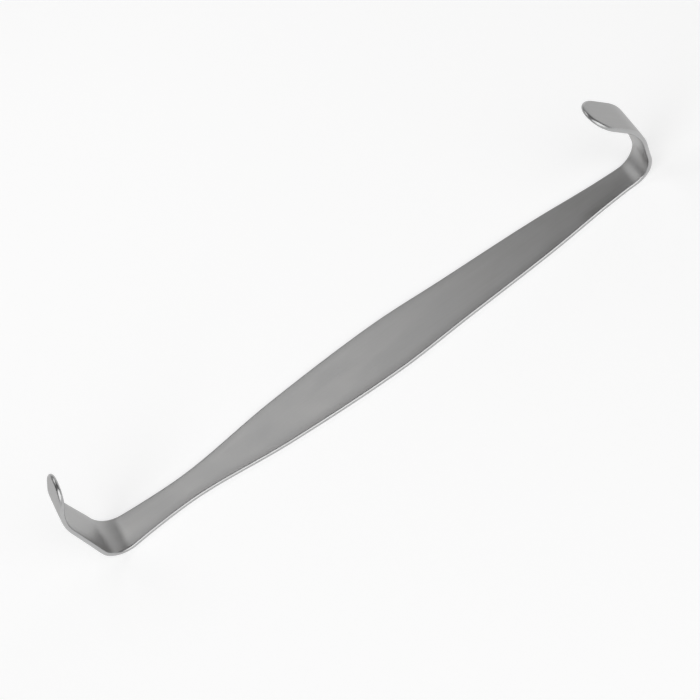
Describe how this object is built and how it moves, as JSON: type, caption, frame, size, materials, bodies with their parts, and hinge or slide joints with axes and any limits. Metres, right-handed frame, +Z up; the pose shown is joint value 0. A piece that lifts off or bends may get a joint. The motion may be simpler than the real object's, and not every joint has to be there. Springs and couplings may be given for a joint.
{
  "type": "handheld surgical retractor",
  "caption": "Double-ended hand retractor bent from one flat steel strap: a long waisted handle with a deep hooked blade at one end and a shallower one at the other.",
  "frame": {"origin": "on the surface the retractor lies on, under the middle of its overall length and width", "axes": "+X along the handle towards the shallow blade, +Z up towards the blades' lips, +Y across the handle"},
  "size_m": [0.15, 0.0148, 0.0312],
  "materials": {
    "steel": "satin, with polished edges"
  },
  "bodies": {
    "root": {"retractor": "steel"}
  },
  "joints": []
}
